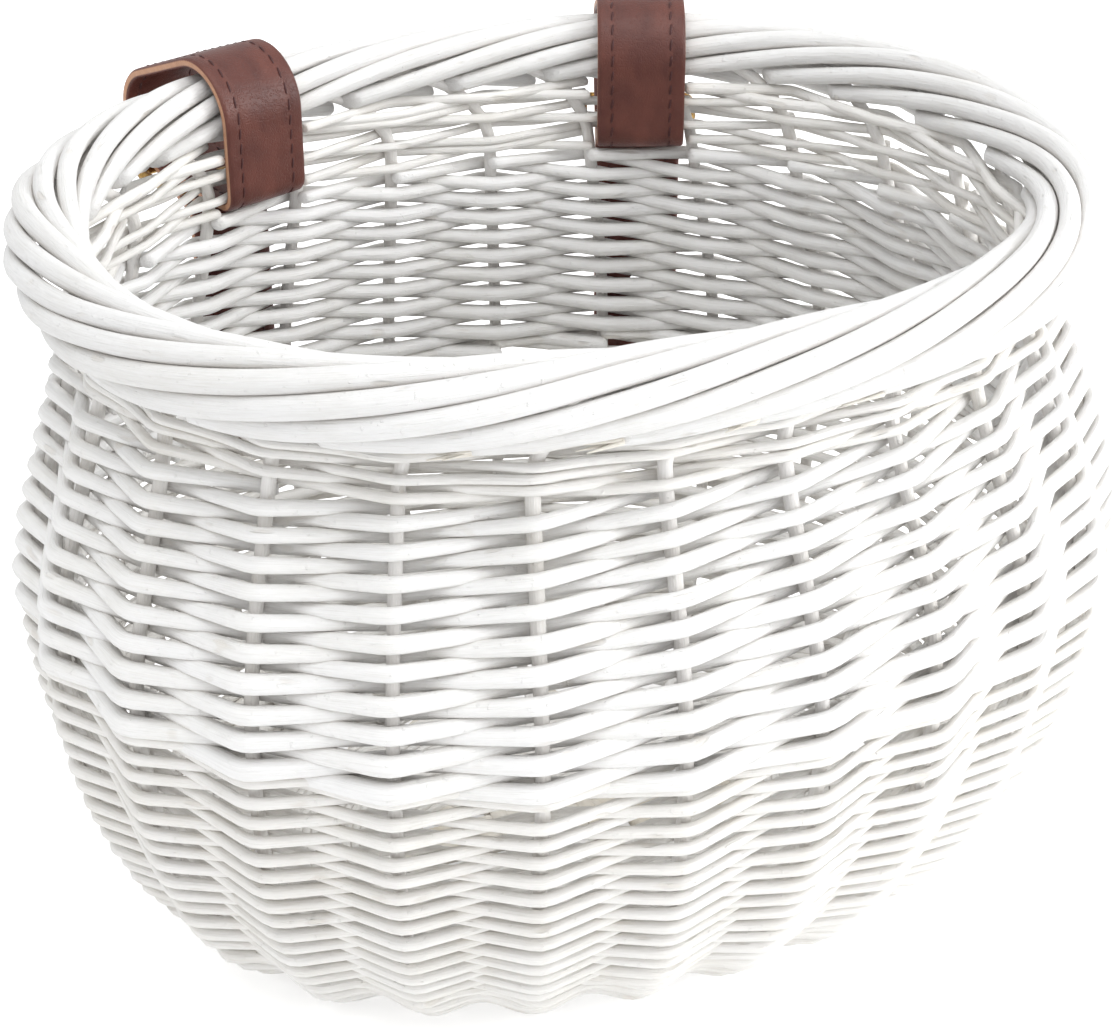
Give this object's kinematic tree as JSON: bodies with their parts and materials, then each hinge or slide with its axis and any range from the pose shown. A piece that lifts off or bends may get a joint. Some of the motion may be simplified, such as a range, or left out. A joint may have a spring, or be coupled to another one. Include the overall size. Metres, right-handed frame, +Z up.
{
  "type": "handlebar basket",
  "caption": "Round-bellied woven willow basket with a rolled border and two buckled leather straps that hold it to a handlebar.",
  "frame": {"origin": "under the middle of the whole outline, at the lowest point of the base, so that the basket stands on Z = 0", "axes": "+X to the right, +Y towards the bicycle (the strap side), +Z up"},
  "size_m": [0.3248, 0.2948, 0.2355],
  "materials": {
    "stake_willow": "white paint over peeled willow, satin",
    "border_willow": "white paint over thick willow rods, satin",
    "fine_willow": "white paint over fine willow, matt, creamier in the gaps",
    "wall_willow": "white paint over peeled willow, satin",
    "base_willow": "thin white paint over willow, matt",
    "strap_leather": "smooth reddish-brown leather, raw tan edges",
    "buckle_metal": "antique brass"
  },
  "bodies": {
    "basket": {"stakes_right": "stake_willow", "stakes_back": "stake_willow", "stakes_left": "stake_willow", "stakes_front": "stake_willow", "border_rods_right": "border_willow", "border_rods_back": "border_willow", "border_rods_left": "border_willow", "border_rods_front": "border_willow", "lower_weavers_right": "fine_willow", "lower_weavers_back": "fine_willow", "lower_weavers_left": "fine_willow", "lower_weavers_front": "fine_willow", "upper_weavers_right": "wall_willow", "upper_weavers_back": "wall_willow", "upper_weavers_left": "wall_willow", "upper_weavers_front": "wall_willow", "bottom_wale": "fine_willow", "top_wale": "fine_willow", "base_long_sticks": "base_willow", "base_cross_sticks": "base_willow", "base_pairing_rods": "base_willow", "strap_left": "strap_leather", "strap_right": "strap_leather"},
    "tail_left": {"strap_tail_left": "strap_leather"},
    "buckle_left": {"buckle_frame_left": "buckle_metal"},
    "prong_left": {"buckle_prong_left": "buckle_metal"},
    "tail_right": {"strap_tail_right": "strap_leather"},
    "buckle_right": {"buckle_frame_right": "buckle_metal"},
    "prong_right": {"buckle_prong_right": "buckle_metal"}
  },
  "joints": [
    {"name": "left_tail_bend", "type": "hinge", "parent": "basket", "child": "tail_left", "pos_m": [-0.06997, 0.10905, 0.1782], "axis": [0.9381, 0.3463, 0], "range_deg": [0, 45]},
    {"name": "left_buckle_tilt", "type": "hinge", "parent": "basket", "child": "buckle_left", "pos_m": [-0.07066, 0.11092, 0.1913], "axis": [-0.9381, -0.3463, 0], "range_deg": [0, 25]},
    {"name": "left_prong_lift", "type": "hinge", "parent": "buckle_left", "child": "prong_left", "pos_m": [-0.07066, 0.11092, 0.1913], "axis": [-0.9381, -0.3463, 0], "range_deg": [0, 20]},
    {"name": "right_tail_bend", "type": "hinge", "parent": "basket", "child": "tail_right", "pos_m": [0.06997, 0.10905, 0.1782], "axis": [0.9381, -0.3463, 0], "range_deg": [0, 45]},
    {"name": "right_buckle_tilt", "type": "hinge", "parent": "basket", "child": "buckle_right", "pos_m": [0.07066, 0.11092, 0.1913], "axis": [-0.9381, 0.3463, 0], "range_deg": [0, 25]},
    {"name": "right_prong_lift", "type": "hinge", "parent": "buckle_right", "child": "prong_right", "pos_m": [0.07066, 0.11092, 0.1913], "axis": [-0.9381, 0.3463, 0], "range_deg": [0, 20]}
  ]
}
